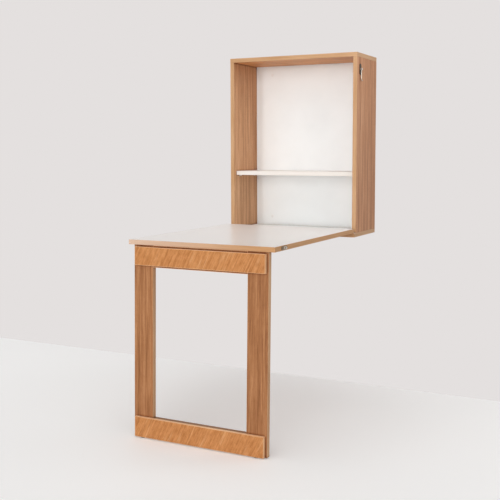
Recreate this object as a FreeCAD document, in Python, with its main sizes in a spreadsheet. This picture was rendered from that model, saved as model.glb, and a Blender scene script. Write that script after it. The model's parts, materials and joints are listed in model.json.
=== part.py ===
import FreeCAD, Part
import os
import re

from FreeCAD import Rotation, Vector

# Wall mounted drop leaf table, in millimetres.
# X runs across the cabinet, +Y points into the wall and +Z up. The origin lies on the wall
# plane, midway between the two upper wall fixing holes. The table stands open: the leaf is level
# and the leg frame stands on the floor, leaning out until its top all but meets the leaf.

# Driving sizes. Every other size and place below is worked out from these.
SIZES = {
    # boards and their edging
    "board": 18,
    "band": 1,
    "band_chamfer": 0.4,
    "laminate": 0.8,
    # cabinet
    "cabinet_width": 600,
    "cabinet_height": 770,
    "cabinet_clearance": 700,
    "side_depth": 240,
    "closing_gap": 1,
    "back_thickness": 6,
    "back_groove": 9,
    "back_recess": 12,
    "shelf_height": 237,
    "shelf_setback": 20,
    "shelf_play": 0.5,
    "pin_inset": 30,
    "pin_radius": 2.5,
    "pin_depth": 9,
    "pin_seat": 10,
    "pin_seat_thickness": 2,
    "collar_radius": 4.5,
    "collar_thickness": 1.2,
    # wall fixing
    "hanger_height": 80,
    "fixing_radius": 3,
    "fixing_spacing": 400,
    # butt hinges of the leaf and the leg
    "hinge_length": 60,
    "hinge_offset": 2.6,
    "hinge_spread": 215,
    "knuckle_radius": 2.2,
    "knuckle_gap": 0.5,
    "hinge_pin_radius": 1.2,
    "hinge_running_gap": 0.05,
    "wing_thickness": 1.5,
    "wing_width": 14,
    "wing_relief": 0.6,
    "stand_gap": 0.4,
    # leg frame
    "leg_inset": 23,
    "leg_setback": 3,
    "leg_gap": 1.2,
    "leg_lean": 1.4,
    "stile_width": 82,
    "inner_rail_height": 80,
    "top_rail_drop": 6,
    "top_rail_height": 67,
    "bottom_rail_height": 82,
    "rail_thickness": 12,
    "rail_inset": 9,
    "glide_radius": 11,
    "glide_height": 3,
    "glide_chamfer": 1,
    # cabin hook and its catch
    "latch_drop": 68,
    "hook_reach": 46,
    "hook_radius": 2,
    "hook_bend": 5,
    "hook_tip": 13,
    "hook_standoff": 6,
    "hook_eye_radius": 5.5,
    "pivot_radius": 2.5,
    "pivot_running_gap": 0.05,
    "pivot_head_radius": 4.5,
    "pivot_head_thickness": 1.5,
    "pivot_side_gap": 0.3,
    "hook_plate_width": 20,
    "catch_plate_width": 13,
    "latch_plate_length": 46,
    "latch_plate_thickness": 1.5,
    "staple_opening": 6.6,
    "staple_strap": 1.5,
    "staple_width": 4,
    "staple_drop": 5,
}

# Places and sizes that follow from the driving ones.
PLACES = {
    # cabinet, seen from the origin on the wall
    "half_width": "cabinet_width / 2",
    "inner_half": "half_width - board",
    "case_top": "hanger_height / 2 + board",
    "case_bottom": "case_top - cabinet_height",
    "case_floor": "case_bottom + board",
    "case_ceiling": "case_top - board",
    "lower_rail_up": "case_floor + hanger_height / 2",
    "ground": "case_bottom - cabinet_clearance",
    "side_front": "0 - side_depth",
    "bottom_front": "side_front - closing_gap - board",
    "shelf_under": "case_floor + shelf_height",
    "shelf_front": "side_front + shelf_setback",
    "back_half": "inner_half + back_groove",
    "back_rear": "0 - back_recess",
    "back_face": "back_rear - back_thickness",
    # leaf and its hinge line
    "leaf_pin_across": "bottom_front - hinge_offset",
    "leaf_pin_up": "case_floor - hinge_offset",
    "leaf_back": "leaf_pin_across - hinge_offset - stand_gap",
    "leaf_length": "cabinet_height - board - stand_gap",
    "leaf_end": "leaf_back - leaf_length",
    "leaf_under": "case_floor",
    "leaf_upper": "leaf_under + board",
    "hinge_step": "hinge_length / 3",
    # leg frame, before it leans, and its hinge line
    "stile_front": "leaf_end + leg_setback",
    "stile_back": "stile_front + board",
    "rail_front": "stile_front - rail_thickness",
    "leg_half": "half_width - leg_inset",
    "rail_half": "leg_half - rail_inset",
    "stile_centre": "leg_half - stile_width / 2",
    "leg_pin_across": "stile_back + hinge_offset",
    "leg_pin_up": "leaf_under - hinge_offset",
    "leg_top": "leaf_under - leg_gap",
    "leg_ground": "leg_pin_up + (ground - leg_pin_up + heel * sin(leg_lean)) / cos(leg_lean)",
    "leg_foot": "leg_ground + glide_height",
    "leg_height": "leg_top - leg_foot",
    # what turns the leg frame about its hinge line; the heel is the glides' rear rim
    "heel": "stile_front + glide_radius - leg_pin_across",
    "lean_across": "leg_pin_across - leg_pin_across * cos(leg_lean) - leg_pin_up * sin(leg_lean)",
    "lean_up": "leg_pin_up - leg_pin_up * cos(leg_lean) + leg_pin_across * sin(leg_lean)",
    # latch: the hook reaches the middle of the closed leaf's edge
    "latch_up": "case_top - latch_drop",
    "latch_across": "side_front - closing_gap - board / 2 + hook_reach",
    "latch_out": "half_width + hook_standoff",
    "plate_face": "half_width + latch_plate_thickness",
    "catch_across": "leaf_pin_across + leaf_pin_up - latch_up + staple_drop",
    "catch_up": "leaf_under + board / 2",
    "staple_outer": "staple_opening / 2 + staple_strap",
}

TURNS = {
    "x": Rotation(Vector(0, 1, 0), 90),
    "-x": Rotation(Vector(0, 1, 0), -90),
    "y": Rotation(Vector(1, 0, 0), -90),
    "-y": Rotation(Vector(1, 0, 0), 90),
    "z": Rotation(),
    "-z": Rotation(Vector(1, 0, 0), 180),
}
WORD = re.compile(r"[a-z][a-z_]*")
FUNCTIONS = ("sin", "cos")
KNUCKLES = 3
NEAR = 0.01

doc = FreeCAD.newDocument("drop_leaf_table")
nodes = []


# ---------------------------------------------------------------- sheet and expressions

def fill_sheet():
    """Put every driving size in the sheet, under its own alias."""
    sheet = doc.addObject("Spreadsheet::Sheet", "Sizes")
    for row, (alias, value) in enumerate(SIZES.items(), start=1):
        sheet.set("A%d" % row, alias)
        sheet.set("B%d" % row, str(value))
        sheet.setAlias("B%d" % row, alias)
    doc.recompute()


def bound(text):
    """Spell a formula of named sizes and places as an expression on the sheet."""
    def spell(match):
        word = match.group(0)
        if word in FUNCTIONS:
            return word
        if word in PLACES:
            return "(" + bound(PLACES[word]) + ")"
        return "Sizes." + word
    return WORD.sub(spell, str(text))


def bind(item, prop, text):
    item.setExpression(prop, bound(text))


def put(item, at, turn):
    """Place an object: a fixed turn, and a corner or centre that follows the sheet."""
    item.Placement = FreeCAD.Placement(Vector(), turn)
    for axis, text in zip("xyz", at):
        bind(item, "Placement.Base." + axis, text)


# ---------------------------------------------------------------- primitives and booleans

def box(name, x, y, z):
    """A box from three (start, length) pairs."""
    item = doc.addObject("Part::Box", name)
    for prop, pair in zip(("Length", "Width", "Height"), (x, y, z)):
        bind(item, prop, pair[1])
    put(item, (x[0], y[0], z[0]), Rotation())
    return item


def rod(name, radius, length, at, way):
    item = doc.addObject("Part::Cylinder", name)
    bind(item, "Radius", radius)
    bind(item, "Height", length)
    put(item, at, TURNS[way])
    return item


def cone(name, wide, narrow, length, at, way):
    item = doc.addObject("Part::Cone", name)
    bind(item, "Radius1", wide)
    bind(item, "Radius2", narrow)
    bind(item, "Height", length)
    put(item, at, TURNS[way])
    return item


def bend(name, radius, wire, degrees, at, turn):
    """Part of a torus: round wire bent through an angle."""
    item = doc.addObject("Part::Torus", name)
    bind(item, "Radius1", radius)
    bind(item, "Radius2", wire)
    item.Angle3 = degrees
    put(item, at, turn)
    return item


def fuse(name, parts):
    item = doc.addObject("Part::MultiFuse", name)
    item.Shapes = parts
    item.Refine = True
    return item


def group(name, parts):
    item = doc.addObject("Part::Compound", name)
    item.Links = parts
    return item


def cut(name, base, tools):
    tool = tools[0] if len(tools) == 1 else group(name + "_tools", tools)
    item = doc.addObject("Part::Cut", name)
    item.Base = base
    item.Tool = tool
    return item


def ease(name, base, rear=True):
    """Chamfer the long outer edges of a strip of edge banding, at the front or all round."""
    doc.recompute()
    item = doc.addObject("Part::Chamfer", name)
    item.Base = base
    width = doc.Sizes.band_chamfer
    edges = []
    for index, edge in enumerate(base.Shape.Edges, start=1):
        if on_outside(edge, base.Shape.BoundBox, rear):
            edges.append((index, width, width))
    item.Edges = edges
    return item


def on_outside(edge, bounds, rear):
    """Whether an edge is a long one where two outer faces of a strip meet."""
    middle = edge.CenterOfMass
    at_front = abs(middle.y - bounds.YMin) < NEAR
    at_rear = abs(middle.y - bounds.YMax) < NEAR
    at_side = min(middle.x - bounds.XMin, bounds.XMax - middle.x) < NEAR
    at_end = min(middle.z - bounds.ZMin, bounds.ZMax - middle.z) < NEAR
    if edge.Length < 2 * doc.Sizes.board or (at_rear and not rear):
        return False
    return (at_front or at_rear) + at_side + at_end >= 2


def keep(item):
    """Name an object as a piece of its own."""
    item.Label = item.Name
    nodes.append(item)
    return item


def upright(name, parts):
    """A piece that stays as it is built."""
    return keep(group(name, parts))


def leaning(name, parts):
    """A piece of the leg frame: built upright, then turned about the hinge line it hangs from."""
    item = group(name, parts)
    item.Placement = FreeCAD.Placement(Vector(), Rotation(Vector(-1, 0, 0), 1))
    bind(item, "Placement.Rotation.Angle", "leg_lean")
    bind(item, "Placement.Base.y", "lean_across")
    bind(item, "Placement.Base.z", "lean_up")
    return keep(item)


def mirrored(text, side):
    """A place on the right or left half: side is 1 or -1."""
    return text if side > 0 else "0 - (%s)" % text


def centred(half):
    """Start and length of what reaches a half width to each side of the middle."""
    return ("0 - (%s)" % half, "2 * (%s)" % half)


def between(low, high):
    return (low, "%s - (%s)" % (high, low))


def reach(centre, way, low, high):
    """Start and length of what lies from low to high beyond a centre, in one direction."""
    if way.startswith("-"):
        return ("%s - (%s)" % (centre, high), "%s - (%s)" % (high, low))
    return ("%s + %s" % (centre, low), "%s - (%s)" % (high, low))


# ---------------------------------------------------------------- hinges

def slab(name, x, pin, ways, out_range, wood_range):
    """A box beside a hinge pin, given by its reach along the wing and towards the wood."""
    spans = {"x": x}
    for way, limits in zip(ways, (out_range, wood_range)):
        axis = way[-1]
        spans[axis] = reach(pin[axis], way, limits[0], limits[1])
    return box(name, spans["x"], spans["y"], spans["z"])


def wing(name, pin, ways, spot, first, bore):
    """One wing: a plate, every other knuckle with the tab that carries it, and the pin's bore."""
    start = "%s - hinge_length / 2" % spot
    plate_edge = "knuckle_radius + wing_relief"
    solids = [slab(name + "_plate", (start, "hinge_length"), pin, ways,
                   (plate_edge, "wing_width"), ("hinge_offset - wing_thickness", "hinge_offset"))]
    for index in range(first, KNUCKLES, 2):
        x = ("%s + %d * hinge_step + knuckle_gap / 2" % (start, index), "hinge_step - knuckle_gap")
        solids.append(rod("%s_knuckle_%d" % (name, index), "knuckle_radius", x[1],
                          (x[0], pin["y"], pin["z"]), "x"))
        solids.append(slab("%s_tab_%d" % (name, index), x, pin, ways,
                           ("0", plate_edge + " + wing_thickness"),
                           ("knuckle_radius - wing_thickness", "knuckle_radius")))
    hole = rod(name + "_bore", bore, "hinge_length", (start, pin["y"], pin["z"]), "x")
    return cut(name, fuse(name + "_blank", solids), [hole])


def hinges(prefix, pin, spots, holder, mover):
    """A row of butt hinges: the holder's wings grip the pins, the mover's wings run on them."""
    for role, first, bore in ((holder, 0, "hinge_pin_radius"),
                              (mover, 1, "hinge_pin_radius + hinge_running_gap")):
        label = "%s_%s" % (prefix, role["name"])
        wings = []
        for spot in spots:
            wings.append(wing("%s_wing_%d" % (label, len(wings)), pin, role["ways"], spot, first, bore))
        role["stance"](label + "_wings", wings)
    pins = []
    for spot in spots:
        at = ("%s - hinge_length / 2" % spot, pin["y"], pin["z"])
        pins.append(rod("%s_pin_%d" % (prefix, len(pins)), "hinge_pin_radius", "hinge_length", at, "x"))
    upright(prefix + "_pins", pins)


# ---------------------------------------------------------------- cabinet

def carcass():
    """Top and bottom boards that lie over the ends of the side boards, round a let-in back."""
    back = back_panel()
    for word, front, level in (("top", "side_front", "case_ceiling"),
                               ("bottom", "bottom_front", "case_bottom")):
        thick = (level, "board")
        core = (centred("half_width - band"), between(front + " + band", "0"), thick)
        keep(cut(word + "_panel", box(word + "_board", *core), [back]))
        keep(banding(word + "_edge_band", (centred("half_width"), between(front, "0"), thick), core))
    return back


def banding(name, outline, core):
    """Edge banding: what lies in a board's outline and outside its core."""
    blank = cut(name + "_blank", box(name + "_outline", *outline), [box(name + "_core", *core)])
    return ease(name, blank)


def back_panel():
    """Thin back panel, let into a groove in all four boards."""
    panel = box("back_sheet", centred("back_half"), between("back_face", "back_rear"),
                between("case_floor - back_groove", "case_ceiling + back_groove"))
    holes = fixing_holes("back_hole_upper", "0") + fixing_holes("back_hole_lower", "lower_rail_up")
    return keep(cut("back_panel", panel, holes))


def fixing_holes(name, level):
    """Two holes on one level for the screws that carry the cabinet on the wall."""
    holes = []
    for side in (-1, 1):
        at = (mirrored("fixing_spacing / 2", side), "back_face", level)
        holes.append(rod("%s_%d" % (name, len(holes)), "fixing_radius",
                         "back_recess + back_thickness", at, "y"))
    return holes


def wall_rails():
    """Two rails behind the back panel, against the wall."""
    for name, level in (("hanging_rail", "0"), ("lower_rail", "lower_rail_up")):
        rail = box(name + "_board", centred("inner_half"), between("back_rear", "0"),
                   ("%s - hanger_height / 2" % level, "hanger_height"))
        keep(cut(name, rail, fixing_holes(name + "_hole", level)))


def shelf_pins():
    """Four shelf supports: a round pin in the side board, a collar and a flat seat."""
    pins = []
    for side, way in ((-1, "x"), (1, "-x")):
        for across in ("back_face - pin_inset", "shelf_front + pin_inset"):
            name = "shelf_pin_%d" % len(pins)
            level = "shelf_under - pin_radius"
            inner = mirrored("inner_half", side)
            stem = rod(name + "_stem", "pin_radius", "pin_depth + pin_seat",
                       (mirrored("inner_half + pin_depth", side), across, level), way)
            collar = rod(name + "_collar", "collar_radius - pin_radius / 2", "collar_thickness",
                         (inner, across, "shelf_under - collar_radius"), way)
            seat_x = ("inner_half - pin_seat", "pin_seat") if side > 0 else (inner, "pin_seat")
            seat = box(name + "_seat", seat_x, ("%s - pin_seat / 2" % across, "pin_seat"),
                       ("shelf_under - pin_seat_thickness", "pin_seat_thickness"))
            pins.append(fuse(name, [stem, collar, seat]))
    return upright("shelf_pins", pins)


def side_panels(back, pins):
    """Two side boards, grooved for the back and bored for the shelf pins, and their banding."""
    strips = []
    tall = between("case_floor", "case_ceiling")
    for word, start in (("left", "0 - half_width"), ("right", "inner_half")):
        blank = box("side_%s_board" % word, (start, "board"), between("side_front + band", "0"), tall)
        keep(cut("side_panel_" + word, blank, [back, pins]))
        strip = box("side_strip_" + word, (start, "board"), ("side_front", "band"), tall)
        strips.append(ease("side_band_" + word, strip, rear=False))
    upright("side_edge_bands", strips)


def shelf():
    width = centred("inner_half - shelf_play")
    thick = ("shelf_under", "board")
    keep(box("shelf", width, between("shelf_front + band", "back_face"), thick))
    strip = box("shelf_strip", width, ("shelf_front", "band"), thick)
    keep(ease("shelf_edge_band", strip, rear=False))


# ---------------------------------------------------------------- leaf

def leaf():
    """The leaf: a banded board with a white laminate pressed on its top."""
    width = centred("half_width - band")
    length = between("leaf_end + band", "leaf_back - band")
    keep(box("leaf_panel", width, length, ("leaf_under", "board - laminate")))
    keep(box("leaf_top_laminate", width, length, ("leaf_upper - laminate", "laminate")))
    thick = ("leaf_under", "board")
    outline = (centred("half_width"), between("leaf_end", "leaf_back"), thick)
    keep(banding("leaf_edge_band", outline, (width, length, thick)))


# ---------------------------------------------------------------- leg frame

def leg_frame():
    """Two stiles with a rail between them, and a top and a bottom rail on their front."""
    back_layer = ("stile_front", "board")
    front_layer = ("rail_front", "rail_thickness")
    stile_bands = []
    for side, word in ((-1, "left"), (1, "right")):
        across = ("%s - stile_width / 2" % mirrored("stile_centre", side), "stile_width")
        stile_bands.append(leg_board("stile_" + word, across, back_layer, ("leg_foot", "leg_height")))
    rail_bands = [
        leg_board("inner_rail", centred("leg_half - stile_width"), back_layer,
                  ("leg_top - inner_rail_height", "inner_rail_height")),
        leg_board("top_rail", centred("rail_half"), front_layer,
                  ("leg_top - top_rail_drop - top_rail_height", "top_rail_height")),
        leg_board("bottom_rail", centred("rail_half"), front_layer,
                  ("leg_foot", "bottom_rail_height")),
    ]
    leaning("stile_edge_bands", stile_bands)
    leaning("rail_edge_bands", rail_bands)


def leg_board(name, across, thick, up):
    """A board of the leg frame; returns the banding that runs round its four edges."""
    core = ((across[0] + " + band", across[1] + " - 2 * band"), thick,
            (up[0] + " + band", up[1] + " - 2 * band"))
    leaning("leg_" + name, [box(name + "_board", *core)])
    return banding(name + "_band", (across, thick, up), core)


def foot_glides():
    """Plastic glides under the frame, one below each stile."""
    glides = []
    for side in (-1, 1):
        at = (mirrored("stile_centre", side), "stile_front", "leg_ground")
        lower = cone("glide_rim_%d" % len(glides), "glide_radius - glide_chamfer", "glide_radius",
                     "glide_chamfer", at, "z")
        upper = rod("glide_disc_%d" % len(glides), "glide_radius", "glide_height - glide_chamfer",
                    (at[0], at[1], at[2] + " + glide_chamfer"), "z")
        glides.append(fuse("glide_%d" % len(glides), [lower, upper]))
    leaning("foot_glides", glides)


# ---------------------------------------------------------------- latch

def latch_plate(name, at, long_axis, width, fitting):
    """A plate with round ends, flat on the right-hand side, and the fitting let through it."""
    centre = dict(zip("xyz", at))
    wide_axis = "z" if long_axis == "y" else "y"
    straight = "(latch_plate_length - %s)" % width
    spans = {
        "x": (centre["x"], "latch_plate_thickness"),
        long_axis: ("%s - %s / 2" % (centre[long_axis], straight), straight),
        wide_axis: ("%s - %s / 2" % (centre[wide_axis], width), width),
    }
    solids = [box(name + "_middle", spans["x"], spans["y"], spans["z"])]
    for side in (-1, 1):
        spot = dict(centre)
        spot[long_axis] = "%s + %d * %s / 2" % (centre[long_axis], side, straight)
        solids.append(rod("%s_end_%d" % (name, len(solids)), width + " / 2",
                          "latch_plate_thickness", (spot["x"], spot["y"], spot["z"]), "x"))
    keep(cut(name, fuse(name + "_blank", solids), [fitting]))


def hook_set():
    """Cabin hook on the cabinet's side: plate, headed pivot and the hook itself, hanging."""
    at = ("half_width", "latch_across", "latch_up")
    eye_half = "hook_radius + pivot_side_gap"
    stem = rod("pivot_stem", "pivot_radius", "hook_standoff + %s" % eye_half, at, "x")
    shoulder = rod("pivot_shoulder", "pivot_head_radius",
                   "hook_standoff - latch_plate_thickness - (%s)" % eye_half,
                   ("plate_face", at[1], at[2]), "x")
    head = rod("pivot_head", "pivot_head_radius", "pivot_head_thickness",
               ("latch_out + %s" % eye_half, at[1], at[2]), "x")
    pivot = keep(fuse("hook_pivot", [stem, shoulder, head]))
    latch_plate("hook_plate", at, "z", "hook_plate_width", pivot)
    hook(at)


def hook(at):
    """Round steel hook: an eye, a straight shank, a bend and a tip that drops in the catch."""
    across, up = at[1], at[2]
    eye = rod("hook_eye", "hook_eye_radius", "2 * hook_radius",
              ("latch_out - hook_radius", across, up), "x")
    shank = rod("hook_shank", "hook_radius", "hook_reach - hook_bend", ("latch_out", across, up), "-z")
    turn = TURNS["x"].multiply(Rotation(Vector(0, 0, 1), -90))
    corner = bend("hook_corner", "hook_bend", "hook_radius", 90,
                  ("latch_out", across + " + hook_bend", up + " - hook_reach + hook_bend"), turn)
    tip = rod("hook_end", "hook_radius", "hook_tip - hook_bend",
              ("latch_out", across + " + hook_bend", up + " - hook_reach"), "y")
    hole = rod("hook_bore", "pivot_radius + pivot_running_gap", "2 * hook_radius",
               ("latch_out - hook_radius", across, up), "x")
    keep(cut("hook", fuse("hook_blank", [eye, shank, corner, tip]), [hole]))


def catch_set():
    """Catch on the leaf's edge: a plate and a bowed strap that takes the hook's tip."""
    at = ("half_width", "catch_across", "catch_up")
    outer = arch("staple_outside", "half_width", "staple_outer")
    inner = arch("staple_inside", "plate_face", "staple_opening / 2")
    staple = keep(cut("catch_staple", outer, [inner]))
    latch_plate("catch_plate", at, "y", "catch_plate_width", staple)


def arch(name, foot, half):
    """A block with a half-round top that stands out from the leaf's edge."""
    start = "catch_across - staple_width / 2"
    block = box(name + "_block", between(foot, "latch_out"), (start, "staple_width"),
                ("catch_up - (%s)" % half, "2 * (%s)" % half))
    bow = rod(name + "_bow", half, "staple_width", ("latch_out", start, "catch_up"), "y")
    return fuse(name, [block, bow])


# ---------------------------------------------------------------- assembly

def build():
    leaf_pin = {"y": "leaf_pin_across", "z": "leaf_pin_up"}
    leg_pin = {"y": "leg_pin_across", "z": "leg_pin_up"}
    hinges("leaf_hinge", leaf_pin, ("0 - hinge_spread", "0", "hinge_spread"),
           {"name": "board", "ways": ("-z", "y"), "stance": upright},
           {"name": "leaf", "ways": ("-y", "z"), "stance": upright})
    hinges("leg_hinge", leg_pin, ("0 - stile_centre", "stile_centre"),
           {"name": "leaf", "ways": ("y", "z"), "stance": upright},
           {"name": "leg", "ways": ("-z", "-y"), "stance": leaning})
    back = carcass()
    wall_rails()
    side_panels(back, shelf_pins())
    shelf()
    leaf()
    leg_frame()
    foot_glides()
    hook_set()
    catch_set()


def check():
    """Stop before anything is written if a feature failed or a piece isn't sound."""
    for item in doc.Objects:
        if "Invalid" in item.State or "Error" in item.State:
            raise RuntimeError("failed feature: " + item.Name)
    for item in nodes:
        if item.Shape.isNull() or not item.Shape.isValid() or not item.Shape.Solids:
            raise RuntimeError("unsound piece: " + item.Label)


def write():
    os.makedirs("parts", exist_ok=True)
    for item in nodes:
        item.Shape.exportStep("parts/%s.step" % item.Label)


fill_sheet()
build()
doc.recompute()
check()
write()
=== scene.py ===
import json
import math

import bmesh
import bpy
from mathutils import Matrix, Vector


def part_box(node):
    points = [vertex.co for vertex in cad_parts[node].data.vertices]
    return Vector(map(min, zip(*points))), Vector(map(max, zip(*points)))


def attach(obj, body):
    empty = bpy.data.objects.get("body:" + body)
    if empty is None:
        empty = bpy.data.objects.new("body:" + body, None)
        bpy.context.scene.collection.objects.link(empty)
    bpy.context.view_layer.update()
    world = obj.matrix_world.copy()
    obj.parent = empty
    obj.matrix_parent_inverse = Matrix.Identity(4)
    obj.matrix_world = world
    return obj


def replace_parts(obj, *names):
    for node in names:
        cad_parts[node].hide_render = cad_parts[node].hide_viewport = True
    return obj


# Looks of the wall mounted drop leaf table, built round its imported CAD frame.
# Metres, in the frame's own axes: +X right, +Y into the wall, +Z up.

# Camera, solved from the object's straight edges in the photograph. Angles in radians.
IMAGE_SIDE = 500
SENSOR = 36.0
FOCAL_PIXELS = 830.49
CAMERA_FROM_WALL = (1.52466, -3.51984)
CAMERA_HEIGHT = 1.05392
CAMERA_YAW = 0.45214
CAMERA_PITCH = -0.09256
CAMERA_SHIFT = (-0.05435, -0.04018)

# Suns: strength, softness in degrees and the direction they shine in.
SUNS = {
    "key": (0.80, 26, (-0.22, 1.0, -0.13)),
    "front_left": (0.42, 7, (0.14, 1.0, -0.04)),
    "front_low": (0.34, 60, (-0.15, 1.0, 0.45)),
    "right": (0.22, 40, (-1.0, 0.45, -0.30)),
    "overhead": (1.18, 90, (0.1, 0.35, -1.0)),
}

# Square lamp beside the cabinet's upper right corner, and the world's light.
PANEL_POWER = 2.7
PANEL_SIDE = 0.5
PANEL_PLACE = (0.95, -0.45, 0.45)
PANEL_AIM = (0.3, -0.2, -0.1)
WORLD_LIGHT = 0.33

# Floor and backdrop.
FLOOR_SIDE = 12.0
FLOOR_TONE = (244, 243, 242)
FLOOR_GLOW = 0.14
FLOOR_ROUGHNESS = 0.6
BACKDROP_TONE = (228, 224, 223)

# Wood decors as dark, middle and light tones; edge bandings as dark and light.
CABINET_WOOD = ((156, 103, 69), (191, 135, 96), (216, 165, 129))
# The left side's decor: the cabinet's decor made lighter, as painted light for its brightly lit inner face.
LEFT_WOOD_PAINTED_LIGHT = ((162, 110, 72), (200, 148, 104), (224, 177, 137))
# The top's decor: the cabinet's decor made lighter and warmer, as painted light for its underside inside the
# cabinet.
TOP_WOOD_PAINTED_LIGHT = ((176, 113, 66), (214, 148, 94), (240, 180, 126))
STILE_WOOD = ((131, 81, 45), (167, 112, 70), (192, 139, 96))
RAIL_WOOD = ((170, 106, 54), (196, 131, 76), (214, 152, 96))
PLYWOOD = ((176, 140, 98), (214, 182, 138))
CABINET_BAND = ((184, 138, 94), (208, 166, 127))
LEAF_BAND = ((188, 138, 90), (209, 160, 114))
STILE_BAND = ((184, 138, 98), (214, 172, 132))
# The rails' banding: a pale banding made paler still, as a painted highlight along the rails' top edges and ends.
RAIL_BAND_HIGHLIT = ((226, 170, 120), (250, 206, 162))
# Dark tone on the upper face of the board behind the bottom rail.
DARK_UPPER_FACE = (146, 102, 66)

# White boards, plastics and metals.
# A slightly cool white: a painted cool tint that cancels the warm light the wood throws on it.
WHITE_FACING = (248, 251, 251)
SHELF_WHITE = (242, 238, 235)
SHELF_BAND_WHITE = (236, 229, 222)
LAMINATE_WHITE = (243, 238, 234)
CAP_WHITE = (244, 244, 243)
GLIDE_BLACK = (34, 31, 29)
PIN_STEEL = (238, 235, 230)
HOOK_STEEL = (198, 188, 174)
HINGE_STEEL = (176, 172, 164)
CATCH_STEEL = (150, 132, 108)
# The screws' dark tone is steel darkened as painted shade of their recesses.
SCREW_STEEL_SHADED = (96, 88, 80)
# The hook plate's dark tone is painted shade round the hook that lies over it.
PLATE_STEEL_SHADED = (78, 68, 58)

# Metals: the tone of their dull spots as a share, and roughness from smoothest to dullest.
DULL_SPOT = 0.80
BRIGHT = (0.24, 0.42)
SATIN = (0.30, 0.46)
BRUSHED = (0.30, 0.48)
DULL = (0.34, 0.52)

# Wood looks: contrast of the decor, and the rails' slanting grain with its flecks and threads.
CABINET_CONTRAST = 1.3
RAIL_CONTRAST = 0.9
RAIL_SLANT = math.radians(64)
RAIL_FLECKS = 0.34
RAIL_THREADS = 0.2
# Painted light on the leaf's edge banding, paler towards its left end.
LEAF_BAND_PAINTED_LIGHT = 0.26

# Values that the materials share: where most of a noise lies, how far a wood decor's tones lie
# from its middle, the tones of pores and threads, and the places along X where a banding's painted light runs out.
WHITE = (1, 1, 1, 1)
BLACK = (0, 0, 0, 1)
NOISE_LOW = 0.3
NOISE_HIGH = 0.7
DECOR_REACH = 0.11
PORE_TONE = (0.74, 0.70, 0.66, 1)
THREAD_TONE = (1, 0.62, 0.34, 1)
PAINTED_LIGHT_START = -0.30
PAINTED_LIGHT_END = 0.25

# Painted shade in inner corners: how far it reaches, its tone, and the openness where it ends.
CORNER_SHADE_REACH = 0.014
CORNER_SHADE_TONE = (0.40, 0.25, 0.15, 1)
CORNER_SHADE_DEEP = 0.46
CORNER_SHADE_OPEN = 0.80
CORNER_SHADE_SAMPLES = 8

# A Mix node's sockets in its colour mode.
FIRST_COLOUR = 6
SECOND_COLOUR = 7
MIXED_COLOUR = 2

# Bottom rail of the leg frame: how much lower it stands than its solid, and its edge banding.
BOTTOM_RAIL_LOWER = 0.007
BAND = 0.001
BAND_CHAMFER = 0.0004
BOARD_CHAMFER = 0.0003

# Hinge wings and latch plates, and the places of their screws: the distance from a hinge's pin,
# and from the middle of a hinge or plate.
HINGE_LENGTH = 0.060
WING_THICKNESS = 0.0015
WING_SCREW_LINE = 0.009
WING_SCREW_STEP = 0.020
PLATE_SCREW_STEP = 0.017

# Rows of hinges: the joint, whether a hinge stands in the middle, the side of the pin along Y on
# which the wings lie, and the wings with their body and whether they lie under a board.
HINGE_ROWS = (
    ("leaf_hinge", True, -1, (("leaf_hinge_board_wings", "cabinet", False),
                              ("leaf_hinge_leaf_wings", "leaf", True))),
    ("leg_hinge", False, 1, (("leg_hinge_leaf_wings", "leaf", True),
                             ("leg_hinge_leg_wings", "leg", False))),
)

# Screw heads and caps, which are too small for the CAD model. A rim's height is a share of the
# dome, a shoulder's radius one of the head's, and a cap's rings are its radii and heights.
ROUND_SIDES = 32
SCREW_RADIUS = 0.0028
SCREW_DOME = 0.00025
SCREW_SEAT = 0.0004
RIM_HEIGHT = 0.4
SHOULDER_RADIUS = 0.9
RECESS_LONG = 0.0017
RECESS_WIDE = 0.00035
RECESS_DEEP = 0.0009
CAP_RINGS = ((0.0070, 0.0), (0.0070, 0.0006), (0.0063, 0.0013), (0.0040, 0.0017))
CAP_HEIGHT = 0.0018


# ---------------------------------------------------------------- colours and node graphs

def linear(rgb):
    """A colour written in screen values, 0 to 255, as Blender's linear values."""
    values = []
    for level in rgb:
        part = level / 255
        values.append(part / 12.92 if part <= 0.04045 else ((part + 0.055) / 1.055) ** 2.4)
    return (*values, 1.0)


def deeper(tone, amount):
    """A tone darker by an amount in screen values."""
    return tuple(level - amount for level in tone)


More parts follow.
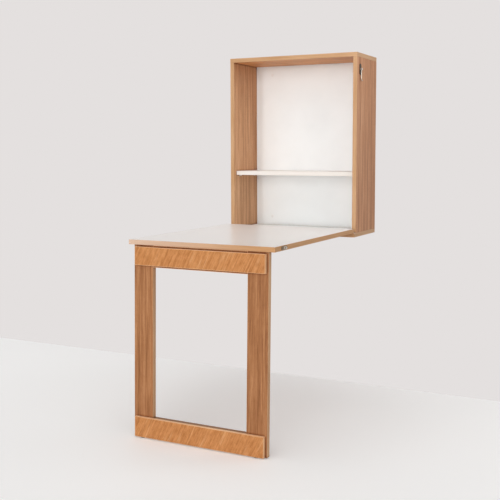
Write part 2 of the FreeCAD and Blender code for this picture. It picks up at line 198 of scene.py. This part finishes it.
class Graph:
    """A material's node tree, put together one node at a time."""

    def __init__(self, name):
        self.material = bpy.data.materials.new(name)
        self.material.use_nodes = True
        self.tree = self.material.node_tree
        self.shader = self.tree.nodes["Principled BSDF"]

    def add(self, kind, inputs=None, **settings):
        """A node with its settings, and its inputs by name: a value, or another node's output."""
        node = self.tree.nodes.new("ShaderNode" + kind)
        for key, value in settings.items():
            setattr(node, key, value)
        for key, value in (inputs or {}).items():
            self.feed(node.inputs[key], value)
        return node

    def feed(self, socket, value):
        """Link a node's output to a socket, or write a value on it."""
        if isinstance(value, bpy.types.NodeSocket):
            self.tree.links.new(value, socket)
        else:
            socket.default_value = value

    def fix(self, **values):
        """Values that are the same all over, on the shader's own sockets."""
        for key, value in values.items():
            self.shader.inputs[key.replace("_", " ")].default_value = value

    def space(self, scale, turn=(0, 0, 0)):
        """The object's own coordinates, turned, and scaled evenly or per axis."""
        if not isinstance(scale, tuple):
            scale = (scale, scale, scale)
        source = self.add("TexCoord").outputs["Object"]
        turned = self.add("Mapping", {"Vector": source, "Rotation": turn}).outputs["Vector"]
        return self.add("Mapping", {"Vector": turned, "Scale": scale}).outputs["Vector"]

    def noise(self, vector, detail, rough=0.55, bend=0.0):
        """A noise in some coordinates; most of it lies from NOISE_LOW to NOISE_HIGH."""
        inputs = {"Vector": vector, "Scale": 1.0, "Detail": detail, "Roughness": rough,
                  "Distortion": bend}
        return self.add("TexNoise", inputs).outputs["Fac"]

    def ramp(self, factor, stops):
        """A colour ramp from (place, colour) stops."""
        node = self.add("ValToRGB", {"Fac": factor})
        points = node.color_ramp.elements
        while len(points) < len(stops):
            points.new(0.5)
        for point, (place, colour) in zip(points, stops):
            point.position = place
            point.color = colour
        return node.outputs["Color"]

    def spread(self, value, low, high, start=NOISE_LOW, end=NOISE_HIGH):
        """A value's range from start to end, spread over low to high."""
        inputs = {"Value": value, "From Min": start, "From Max": end, "To Min": low, "To Max": high}
        return self.add("MapRange", inputs).outputs["Result"]

    def sum(self, first, second, operation="ADD"):
        """Two values added, or joined by another operation."""
        node = self.add("Math", operation=operation)
        self.feed(node.inputs[0], first)
        self.feed(node.inputs[1], second)
        return node.outputs["Value"]

    def weighed(self, *parts):
        """Sum of (value, weight) pairs."""
        total = 0.0
        for value, weight in parts:
            total = self.sum(total, self.sum(value, weight, "MULTIPLY"))
        return total

    def mix(self, first, second, factor, blend="MIX"):
        """Two colours, the second blended into the first by a factor."""
        node = self.add("Mix", data_type="RGBA", blend_type=blend)
        self.feed(node.inputs["Factor"], factor)
        self.feed(node.inputs[FIRST_COLOUR], first)
        self.feed(node.inputs[SECOND_COLOUR], second)
        return node.outputs[MIXED_COLOUR]

    def shade(self, colour, tones):
        """A colour made darker by tones that vary over the surface."""
        return self.mix(colour, tones, 1.0, "MULTIPLY")

    def lighten(self, colour, tones, amount):
        """A colour made lighter, by an amount, where the tones are bright."""
        return self.mix(colour, tones, amount, "SCREEN")

    def paint_corner_shade(self, colour):
        """A colour with painted shade in tight inner corners, darker the more closed in a spot is."""
        corners = self.add("AmbientOcclusion", {"Distance": CORNER_SHADE_REACH}, samples=CORNER_SHADE_SAMPLES)
        return self.shade(colour, self.ramp(corners.outputs["AO"], ((CORNER_SHADE_DEEP, CORNER_SHADE_TONE),
                                                                    (CORNER_SHADE_OPEN, WHITE))))

    def height_up(self):
        """The part of the surface's own normal that points up."""
        normal = self.add("TexCoord").outputs["Normal"]
        return self.add("SeparateXYZ", {"Vector": normal}).outputs["Z"]

    def finish(self, colour, roughness, height=None, relief=0.0):
        """The material, with a colour, a roughness, and a relief of some height in metres."""
        self.feed(self.shader.inputs["Base Color"], colour)
        self.feed(self.shader.inputs["Roughness"], roughness)
        if height is not None:
            bump = self.add("Bump", {"Height": height, "Strength": 1.0, "Distance": relief})
            self.feed(self.shader.inputs["Normal"], bump.outputs["Normal"])
        return self.material


# ---------------------------------------------------------------- materials

def stretched(grain, across, along):
    """Scales per metre of a pattern that is fine across the grain and long along it."""
    return tuple(along if axis == grain else across for axis in "xyz")


def wood(name, tones, grain, slant=0.0, contrast=1.0, flecked=0.05, threads=0.0, cover=None):
    """Printed wood decor: tone bands, streaks, fibres, flecks, short pores and pale threads.

    A cover tone covers the side of the board that looks up, as a facing does, or a dark tone on an upper edge.
    """
    dark, middle, light = tones
    g = Graph(name)
    turn = (0.0, slant, 0.0)

    def layer(across, along, **settings):
        return g.noise(g.space(stretched(grain, across, along), turn), **settings)

    wander = 0.5 + 3.0 * flecked
    bands = layer(across=46, along=1.3, detail=4, rough=0.6, bend=wander)
    streaks = layer(across=170, along=3.2, detail=5, rough=0.6, bend=0.3)
    fibres = layer(across=620, along=10, detail=6, rough=0.65)
    pores = layer(across=1500, along=75, detail=2)
    flecks = layer(across=90, along=38, detail=4, rough=0.65)
    mixed = g.weighed((bands, 0.36 - flecked / 2), (streaks, 0.38), (fibres, 0.26 - flecked / 2),
                      (flecks, flecked))
    reach = DECOR_REACH / contrast
    colour = g.ramp(mixed, ((0.50 - reach, linear(dark)), (0.50, linear(middle)),
                            (0.50 + reach, linear(light))))
    if threads:
        colour = g.lighten(colour, pale_threads(g, layer), threads)
    dashes = g.ramp(pores, ((0.30, PORE_TONE), (0.42, WHITE)))
    height = g.weighed((fibres, 0.7), (pores, 0.3))
    rough = g.spread(streaks, 0.42, 0.58)
    colour = g.shade(colour, dashes)
    if cover:
        colour = g.mix(colour, linear(cover), g.spread(g.height_up(), 0.0, 1.0, 0.6, 0.8))
    g.fix(Specular_IOR_Level=0.22)
    # Painted shade in inner corners.
    return g.finish(g.paint_corner_shade(colour), rough, height, relief=0.00012)


def pale_threads(g, layer):
    """Thin pale lines along the grain, where a broad noise crosses its middle value."""
    field = layer(across=34, along=1.5, detail=2, bend=0.4)
    line = g.ramp(field, ((0.46, BLACK), (0.50, THREAD_TONE), (0.54, BLACK)))
    gaps = layer(across=30, along=12, detail=2)
    broken = g.ramp(gaps, ((0.46, BLACK), (0.60, WHITE)))
    return g.shade(line, broken)


def banding(name, tones, across, painted_light=0.0, paint_corner_shade=True):
    """Pale edge banding with fine lines along the strip; across is the axis of its width.

    Painted light makes it paler towards its left end. Unless it gets painted corner shade, it stays pale in
    corners.
    """
    dark, light = tones
    g = Graph(name)
    scale = tuple(900 if axis == across else 7 for axis in "xyz")
    wide = tuple(260 if axis == across else 3 for axis in "xyz")
    lines = g.noise(g.space(scale), detail=4, rough=0.6)
    clouds = g.noise(g.space(wide), detail=3)
    slow = g.noise(g.space(4), detail=2)
    mixed = g.weighed((lines, 0.35), (clouds, 0.35), (slow, 0.3))
    colour = g.ramp(mixed, ((0.40, linear(dark)), (0.60, linear(light))))
    # Painted light, paler towards the left end.
    if painted_light:
        side = g.add("SeparateXYZ", {"Vector": g.add("TexCoord").outputs["Object"]}).outputs["X"]
        colour = g.lighten(colour, WHITE, g.spread(side, painted_light, 0.0, PAINTED_LIGHT_START, PAINTED_LIGHT_END))
    # Painted shade in inner corners, unless it is turned off.
    if paint_corner_shade:
        colour = g.paint_corner_shade(colour)
    g.fix(Specular_IOR_Level=0.25)
    return g.finish(colour, g.spread(lines, 0.38, 0.52), lines, relief=0.00006)


def white_melamine(name, tone):
    """White board with the fine pearl of a pressed melamine face."""
    g = Graph(name)
    pearl = g.noise(g.space(900), detail=3)
    cloud = g.noise(g.space(5), detail=3)
    colour = g.ramp(cloud, ((0.35, linear(deeper(tone, 5))), (0.65, linear(tone))))
    return g.finish(colour, g.spread(pearl, 0.44, 0.56), pearl, relief=0.00008)


def satin_laminate(name, tone):
    """Satin white laminate with a fine pressed pearl and faint wiped smears."""
    g = Graph(name)
    pearl = g.noise(g.space(700), detail=2)
    smears = g.noise(g.space((5, 2, 5), (0, 0, 0.5)), detail=4, rough=0.5, bend=0.5)
    colour = g.ramp(smears, ((0.3, linear(deeper(tone, 3))), (0.7, linear(tone))))
    g.fix(Coat_Weight=0.2, Coat_Roughness=0.2)
    return g.finish(colour, g.spread(smears, 0.30, 0.36), pearl, relief=0.00001)


def metal(name, tone, grain="x", rough=BRIGHT):
    """Plated steel with fine rolling lines, small dull spots and a slight tone change."""
    g = Graph(name)
    lines = g.noise(g.space(stretched(grain, across=3200, along=90)), detail=4, rough=0.6)
    spots = g.noise(g.space(260), detail=4, rough=0.7)
    low = tuple(level * DULL_SPOT for level in tone)
    colour = g.ramp(spots, ((0.34, linear(low)), (0.56, linear(tone))))
    g.fix(Metallic=1.0)
    mixed = g.weighed((lines, 0.6), (spots, 0.4))
    return g.finish(colour, g.spread(mixed, *rough, 0.35, 0.65), lines, relief=0.00002)


def plywood(name, tones):
    """Unfinished plywood of the wall rails: long soft grain and open pores."""
    dark, light = tones
    g = Graph(name)
    soft = g.noise(g.space(stretched("x", across=110, along=3)), detail=5, rough=0.6, bend=0.5)
    fine = g.noise(g.space(stretched("x", across=900, along=30)), detail=4)
    mixed = g.weighed((soft, 0.65), (fine, 0.35))
    colour = g.ramp(mixed, ((0.36, linear(dark)), (0.64, linear(light))))
    return g.finish(colour, g.spread(fine, 0.62, 0.78), mixed, relief=0.0002)


def moulded_plastic(name, tone):
    """Dark glide plastic with a spark-eroded grain and scuffs."""
    g = Graph(name)
    grain = g.noise(g.space(1800), detail=2)
    scuffs = g.noise(g.space((90, 90, 300)), detail=5, rough=0.7)
    colour = g.ramp(scuffs, ((0.45, linear(tone)), (0.68, linear(deeper(tone, -22)))))
    return g.finish(colour, g.spread(scuffs, 0.45, 0.65, 0.4, 0.7), grain, relief=0.00006)


def dress(frame):
    """Give every CAD node its material."""
    upright = wood("wood_upright", CABINET_WOOD, "z", contrast=CABINET_CONTRAST)
    left = wood("wood_upright_left_painted_light", LEFT_WOOD_PAINTED_LIGHT, "z", contrast=CABINET_CONTRAST)
    level = wood("wood_level_painted_light", TOP_WOOD_PAINTED_LIGHT, "x", contrast=CABINET_CONTRAST)
    floor = wood("wood_floor_board", CABINET_WOOD, "x", contrast=CABINET_CONTRAST,
                 cover=WHITE_FACING)
    leaf = wood("wood_leaf", CABINET_WOOD, "y", contrast=CABINET_CONTRAST)
    stile = wood("wood_stile", STILE_WOOD, "z")
    rail = wood("wood_rail", RAIL_WOOD, "x", slant=RAIL_SLANT, contrast=RAIL_CONTRAST,
                flecked=RAIL_FLECKS, threads=RAIL_THREADS)
    # Banding of the rails: its pale tone is partly a painted highlight, and it gets no painted corner shade.
    highlit_rail_band = banding("highlit_rail_band", RAIL_BAND_HIGHLIT, "y", paint_corner_shade=False)
    cabinet_band = banding("cabinet_band_level", CABINET_BAND, "z")
    steel = metal("plated_steel", PIN_STEEL)
    hinge_steel = metal("hinge_steel", HINGE_STEEL, rough=BRUSHED)
    finishes = {
        "side_panel_left": left, "side_panel_right": upright,
        "top_panel": level, "bottom_panel": floor,
        "back_panel": white_melamine("white_back", WHITE_FACING),
        "hanging_rail": plywood("plywood_rail", PLYWOOD),
        "lower_rail": plywood("plywood_lower_rail", PLYWOOD),
        "shelf": white_melamine("white_shelf", SHELF_WHITE),
        "shelf_edge_band": white_melamine("white_banding", SHELF_BAND_WHITE),
        "side_edge_bands": banding("cabinet_band_upright", CABINET_BAND, "x"),
        "top_edge_band": cabinet_band, "bottom_edge_band": cabinet_band,
        "shelf_pins": steel,
        "leaf_hinge_board_wings": hinge_steel, "leaf_hinge_leaf_wings": hinge_steel,
        "leg_hinge_leaf_wings": hinge_steel, "leg_hinge_leg_wings": hinge_steel,
        "leaf_hinge_pins": steel, "leg_hinge_pins": steel,
        # Painted shade in the hook plate's dark tone.
        "hook_plate": metal("plate_steel_shaded", PLATE_STEEL_SHADED, rough=DULL),
        "catch_plate": metal("catch_steel", CATCH_STEEL, rough=DULL),
        "hook_pivot": steel, "catch_staple": steel,
        "hook": metal("hook_steel", HOOK_STEEL, "z", SATIN),
        "leaf_panel": leaf,
        "leaf_edge_band": banding("leaf_band", LEAF_BAND, "z", LEAF_BAND_PAINTED_LIGHT),
        "leaf_top_laminate": satin_laminate("white_laminate", LAMINATE_WHITE),
        "leg_stile_left": stile, "leg_stile_right": stile, "leg_inner_rail": stile,
        "leg_top_rail": rail, "leg_bottom_rail": rail,
        "stile_edge_bands": banding("stile_band", STILE_BAND, "y"),
        "rail_edge_bands": highlit_rail_band,
        "foot_glides": moulded_plastic("glide_plastic", GLIDE_BLACK),
    }
    for name, node in frame["nodes"].items():
        for place in node.material_slots:
            place.material = finishes[name]
    add_lower_rails(frame, rail, highlit_rail_band)


# ---------------------------------------------------------------- pieces of the scene

def mesh_piece(name, mesh, finish, body):
    """A finished mesh as a piece that rides on a body."""
    bmesh.ops.recalc_face_normals(mesh, faces=mesh.faces)
    data = bpy.data.meshes.new(name)
    mesh.to_mesh(data)
    mesh.free()
    data.materials.append(finish)
    piece = bpy.data.objects.new(name, data)
    bpy.context.scene.collection.objects.link(piece)
    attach(piece, body)
    return piece


def add_wall(mesh, lower, upper):
    """Faces between two closed loops of as many vertices."""
    for index, vert in enumerate(lower):
        after = (index + 1) % len(lower)
        mesh.faces.new((vert, lower[after], upper[after], upper[index]))


def circle(radius):
    """Points of a circle, in order round it."""
    angles = [2 * math.pi * index / ROUND_SIDES for index in range(ROUND_SIDES)]
    return [(radius * math.cos(angle), radius * math.sin(angle)) for angle in angles]


def joint_row(frame, joint):
    """The frame's row of a joint."""
    return next(row for row in frame["joints"] if row["name"] == joint)


# ---------------------------------------------------------------- leg frame's lower rails

def leg_stand(frame):
    """The turn about the hinge line that takes the upright leg frame to its leaning stand."""
    row = joint_row(frame, "leg_hinge")
    pin = Vector(row["pos_m"])
    lean = math.radians(row["range_deg"][1] - 90)
    return Matrix.Translation(pin) @ Matrix.Rotation(-lean, 4, "X") @ Matrix.Translation(-pin)


def upright_box(frame, name, stand):
    """Lowest and highest corners of a node of the leg frame, before it leans."""
    back = stand.inverted()
    points = [back @ vert.co for vert in frame["nodes"][name].data.vertices]
    return (Vector(min(point[axis] for point in points) for axis in range(3)),
            Vector(max(point[axis] for point in points) for axis in range(3)))


def add_rings(mesh, low, high, profile, stand, closed):
    """Rectangles round a board, each grown by an amount and at a depth, joined in order."""
    rings = []
    for grow, depth in profile:
        corners = ((low.x - grow, low.z - grow), (high.x + grow, low.z - grow),
                   (high.x + grow, high.z + grow), (low.x - grow, high.z + grow))
        rings.append([mesh.verts.new(stand @ Vector((x, depth, z))) for x, z in corners])
    if closed:
        rings.append(rings[0])
    else:
        mesh.faces.new(rings[0])
        mesh.faces.new(rings[-1])
    for lower, upper in zip(rings, rings[1:]):
        add_wall(mesh, lower, upper)


def add_board(mesh, low, high, stand):
    """A board with eased edges on its front and back."""
    ease = BOARD_CHAMFER
    profile = ((-ease, low.y), (0, low.y + ease), (0, high.y - ease), (-ease, high.y))
    add_rings(mesh, low, high, profile, stand, False)


def add_band(mesh, low, high, stand):
    """Edge banding round a board's core, with its outer edges chamfered."""
    flat = BAND - BAND_CHAMFER
    profile = ((0, low.y), (flat, low.y), (BAND, low.y + BAND_CHAMFER),
               (BAND, high.y - BAND_CHAMFER), (flat, high.y), (0, high.y))
    add_rings(mesh, low, high, profile, stand, True)


def add_lower_rails(frame, rail, band):
    """The bottom rail at the height the photograph shows, and the board behind it.

    The bottom rail's own node and the banding of all rails are replaced. The board behind it is
    like the one behind the top rail, with a dark tone on its upper edge.
    """
    stand = leg_stand(frame)
    cores = [upright_box(frame, "leg_" + word, stand)
             for word in ("inner_rail", "top_rail", "bottom_rail")]
    low, high = cores[-1]
    high.z -= BOTTOM_RAIL_LOWER
    mesh = bmesh.new()
    add_rings(mesh, low, high, ((0, low.y), (0, high.y)), stand, False)
    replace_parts(mesh_piece("bottom_rail_board", mesh, rail, "leg"),
                "leg_bottom_rail")
    mesh = bmesh.new()
    for core in cores:
        add_band(mesh, *core, stand)
    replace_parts(mesh_piece("rail_bands", mesh, band, "leg"), "rail_edge_bands")
    inner_low, inner_high = cores[0]
    mesh = bmesh.new()
    add_board(mesh, Vector((inner_low.x - BAND, inner_low.y, low.z - BAND)),
              Vector((inner_high.x + BAND, inner_high.y, high.z + BAND)), stand)
    finish = wood("wood_lower_inner_rail", STILE_WOOD, "x", cover=DARK_UPPER_FACE)
    mesh_piece("lower_inner_rail", mesh, finish, "leg")


# ---------------------------------------------------------------- screw heads

def cross_outline():
    """Corners of a cross recess, in order round it."""
    corners = []
    for quarter in range(4):
        turn = Matrix.Rotation(quarter * math.pi / 2, 2)
        for x, y in ((RECESS_LONG, -RECESS_WIDE), (RECESS_LONG, RECESS_WIDE),
                     (RECESS_WIDE, RECESS_WIDE)):
            corners.append(turn @ Vector((x, y)))
    return corners


def add_screw(mesh, at, facing):
    """A flat countersunk head with a cross recess, its face looking along facing."""
    seat = facing.to_track_quat("Z", "Y").to_matrix().to_4x4()
    seat.translation = at

    def ring(points, height):
        return [mesh.verts.new(seat @ Vector((x, y, height))) for x, y in points]

    foot = ring(circle(SCREW_RADIUS), -SCREW_SEAT)
    rim = ring(circle(SCREW_RADIUS), SCREW_DOME * RIM_HEIGHT)
    shoulder = ring(circle(SCREW_RADIUS * SHOULDER_RADIUS), SCREW_DOME)
    lip = ring(cross_outline(), SCREW_DOME)
    floor = ring(cross_outline(), SCREW_DOME - RECESS_DEEP)
    add_wall(mesh, foot, rim)
    add_wall(mesh, rim, shoulder)
    add_wall(mesh, lip, floor)
    mesh.faces.new(floor)
    edges = []
    for loop in (shoulder, lip):
        for index, vert in enumerate(loop):
            after = loop[(index + 1) % len(loop)]
            edges.append(mesh.edges.get((vert, after)) or mesh.edges.new((vert, after)))
    bmesh.ops.triangle_fill(mesh, edges=edges, use_beauty=True, normal=facing)


def screw_heads(name, body, places, facing, finish):
    """One object for a set of screws on the same body."""
    mesh = bmesh.new()
    for place in places:
        add_screw(mesh, Vector(place), Vector(facing))
    mesh_piece(name, mesh, finish, body)


def hinge_spots(pins, middle):
    """Places along X of a row's screws, two in each wing; a row may have a middle hinge."""
    low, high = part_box(pins)
    spots = [low.x + HINGE_LENGTH / 2, high.x - HINGE_LENGTH / 2]
    if middle:
        spots.append((low.x + high.x) / 2)
    return [spot + side * WING_SCREW_STEP for spot in spots for side in (-1, 1)]


def wing_places(spots, wings, pin, side, under):
    """Places of the screws in a set of wings, and the way that their heads look."""
    low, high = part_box(wings)
    if under:
        face = high.z - WING_THICKNESS
        return [(x, pin.y + side * WING_SCREW_LINE, face) for x in spots], (0, 0, -1)
    face = high.y - WING_THICKNESS if side < 0 else low.y + WING_THICKNESS
    return [(x, face, pin.z - WING_SCREW_LINE) for x in spots], (0, side, 0)


def add_screws(frame):
    """Screw heads in the hinge wings and in the two plates of the latch."""
    # Steel made dark, as painted shade of the heads' recesses.
    finish = metal("screw_steel_shaded", SCREW_STEEL_SHADED, rough=SATIN)
    for joint, middle, side, sets in HINGE_ROWS:
        pin = Vector(joint_row(frame, joint)["pos_m"])
        spots = hinge_spots(joint + "_pins", middle)
        for wings, body, under in sets:
            places, facing = wing_places(spots, wings, pin, side, under)
            screw_heads(wings + "_screw_heads", body, places, facing, finish)
    for plate, body, step in (("hook_plate", "cabinet", Vector((0, 0, PLATE_SCREW_STEP))),
                              ("catch_plate", "leaf", Vector((0, PLATE_SCREW_STEP, 0)))):
        low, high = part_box(plate)
        centre = (low + high) / 2
        centre.x = high.x
        screw_heads(plate + "_screw_heads", body, (centre - step, centre + step), (1, 0, 0), finish)


# ---------------------------------------------------------------- cover caps

def add_caps(frame):
    """White caps over the four wall screws, on the face of the back panel."""
    mesh = bmesh.new()
    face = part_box("back_panel")[0].y
    for row in frame["record"]["mounts"]:
        if row["kind"] == "bolt_pattern":
            half = row["dims"]["spacing_x_mm"] / 2000
            for x in (-half, half):
                add_cap(mesh, Vector((x, face, row["pos_m"][2])))
    finish = white_melamine("cap_plastic", CAP_WHITE)
    piece = mesh_piece("wall_screw_caps", mesh, finish, "cabinet")
    for polygon in piece.data.polygons:
        polygon.use_smooth = True


def add_cap(mesh, at):
    """A shallow round cap that looks out of the cabinet."""
    rings = [[mesh.verts.new(at + Vector((x, -height, z))) for x, z in circle(radius)]
             for radius, height in CAP_RINGS]
    crown = mesh.verts.new(at - Vector((0, CAP_HEIGHT, 0)))
    for lower, upper in zip(rings, rings[1:]):
        add_wall(mesh, lower, upper)
    last = rings[-1]
    for index, vert in enumerate(last):
        mesh.faces.new((vert, last[(index + 1) % ROUND_SIDES], crown))


# ---------------------------------------------------------------- camera, light and stage

def add_camera(ground):
    """The camera at the photograph's place and angle."""
    data = bpy.data.cameras.new("camera")
    data.sensor_width = SENSOR
    data.lens = FOCAL_PIXELS / IMAGE_SIDE * SENSOR
    data.shift_x, data.shift_y = CAMERA_SHIFT
    camera = bpy.data.objects.new("camera", data)
    camera.location = (*CAMERA_FROM_WALL, ground + CAMERA_HEIGHT)
    camera.rotation_euler = (math.pi / 2 + CAMERA_PITCH, 0, CAMERA_YAW)
    bpy.context.scene.collection.objects.link(camera)
    bpy.context.scene.camera = camera


def aimed_lamp(name, data, towards):
    """A lamp object that shines along a direction."""
    lamp = bpy.data.objects.new(name, data)
    lamp.rotation_mode = "QUATERNION"
    lamp.rotation_quaternion = towards.to_track_quat("-Z", "Y")
    bpy.context.scene.collection.objects.link(lamp)
    return lamp


def add_lamps():
    """Soft suns for the room's even light, and a square lamp for the cabinet's upper right."""
    for name, (strength, softness, towards) in SUNS.items():
        data = bpy.data.lights.new(name, "SUN")
        data.energy = strength
        data.angle = math.radians(softness)
        aimed_lamp(name, data, Vector(towards))
    data = bpy.data.lights.new("right_top", "AREA")
    data.energy = PANEL_POWER
    data.size = PANEL_SIDE
    lamp = aimed_lamp("right_top", data, Vector(PANEL_AIM) - Vector(PANEL_PLACE))
    lamp.location = PANEL_PLACE


def add_world():
    """Even light all round; the camera, gloss and glass see the pale backdrop."""
    world = bpy.data.worlds.new("studio")
    world.use_nodes = True
    bpy.context.scene.world = world
    nodes = world.node_tree.nodes
    links = world.node_tree.links
    light = nodes["Background"]
    light.inputs["Color"].default_value = WHITE
    light.inputs["Strength"].default_value = WORLD_LIGHT
    backdrop = nodes.new("ShaderNodeBackground")
    backdrop.inputs["Color"].default_value = linear(BACKDROP_TONE)
    path = nodes.new("ShaderNodeLightPath")
    seen = path.outputs["Is Camera Ray"]
    for ray in ("Is Glossy Ray", "Is Transmission Ray"):
        either = nodes.new("ShaderNodeMath")
        either.operation = "MAXIMUM"
        links.new(seen, either.inputs[0])
        links.new(path.outputs[ray], either.inputs[1])
        seen = either.outputs["Value"]
    mix = nodes.new("ShaderNodeMixShader")
    links.new(seen, mix.inputs["Fac"])
    links.new(light.outputs["Background"], mix.inputs[1])
    links.new(backdrop.outputs["Background"], mix.inputs[2])
    links.new(mix.outputs["Shader"], nodes["World Output"].inputs["Surface"])


def add_floor(ground):
    """A pale floor in front of the wall plane."""
    half = FLOOR_SIDE / 2
    data = bpy.data.meshes.new("floor")
    corners = [(-half, -FLOOR_SIDE, ground), (half, -FLOOR_SIDE, ground), (half, 0, ground),
               (-half, 0, ground)]
    data.from_pydata(corners, [], [(0, 1, 2, 3)])
    g = Graph("floor")
    cloud = g.noise(g.space(1.5), detail=3)
    colour = g.ramp(cloud, ((0.3, linear(deeper(FLOOR_TONE, 3))), (0.7, linear(FLOOR_TONE))))
    seen = g.add("LightPath").outputs
    pale = g.sum(g.sum(seen["Is Camera Ray"], seen["Is Glossy Ray"]), seen["Is Transmission Ray"])
    g.feed(g.shader.inputs["Emission Color"], WHITE)
    g.feed(g.shader.inputs["Emission Strength"], g.sum(pale, FLOOR_GLOW, "MULTIPLY"))
    data.materials.append(g.finish(colour, FLOOR_ROUGHNESS))
    floor = bpy.data.objects.new("floor", data)
    bpy.context.scene.collection.objects.link(floor)


with open("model.json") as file:
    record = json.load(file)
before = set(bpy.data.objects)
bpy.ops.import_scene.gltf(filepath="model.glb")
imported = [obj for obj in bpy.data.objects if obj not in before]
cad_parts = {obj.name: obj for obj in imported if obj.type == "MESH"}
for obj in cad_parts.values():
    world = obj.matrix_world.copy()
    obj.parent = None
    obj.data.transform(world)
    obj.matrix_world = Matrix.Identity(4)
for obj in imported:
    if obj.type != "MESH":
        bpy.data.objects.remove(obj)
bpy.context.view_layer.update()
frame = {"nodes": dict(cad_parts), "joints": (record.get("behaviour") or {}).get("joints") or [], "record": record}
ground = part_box("foot_glides")[0].z
add_camera(ground)
dress(frame)
add_screws(frame)
add_caps(frame)
add_lamps()
add_world()
add_floor(ground)
bpy.context.scene.view_settings.view_transform = "Standard"
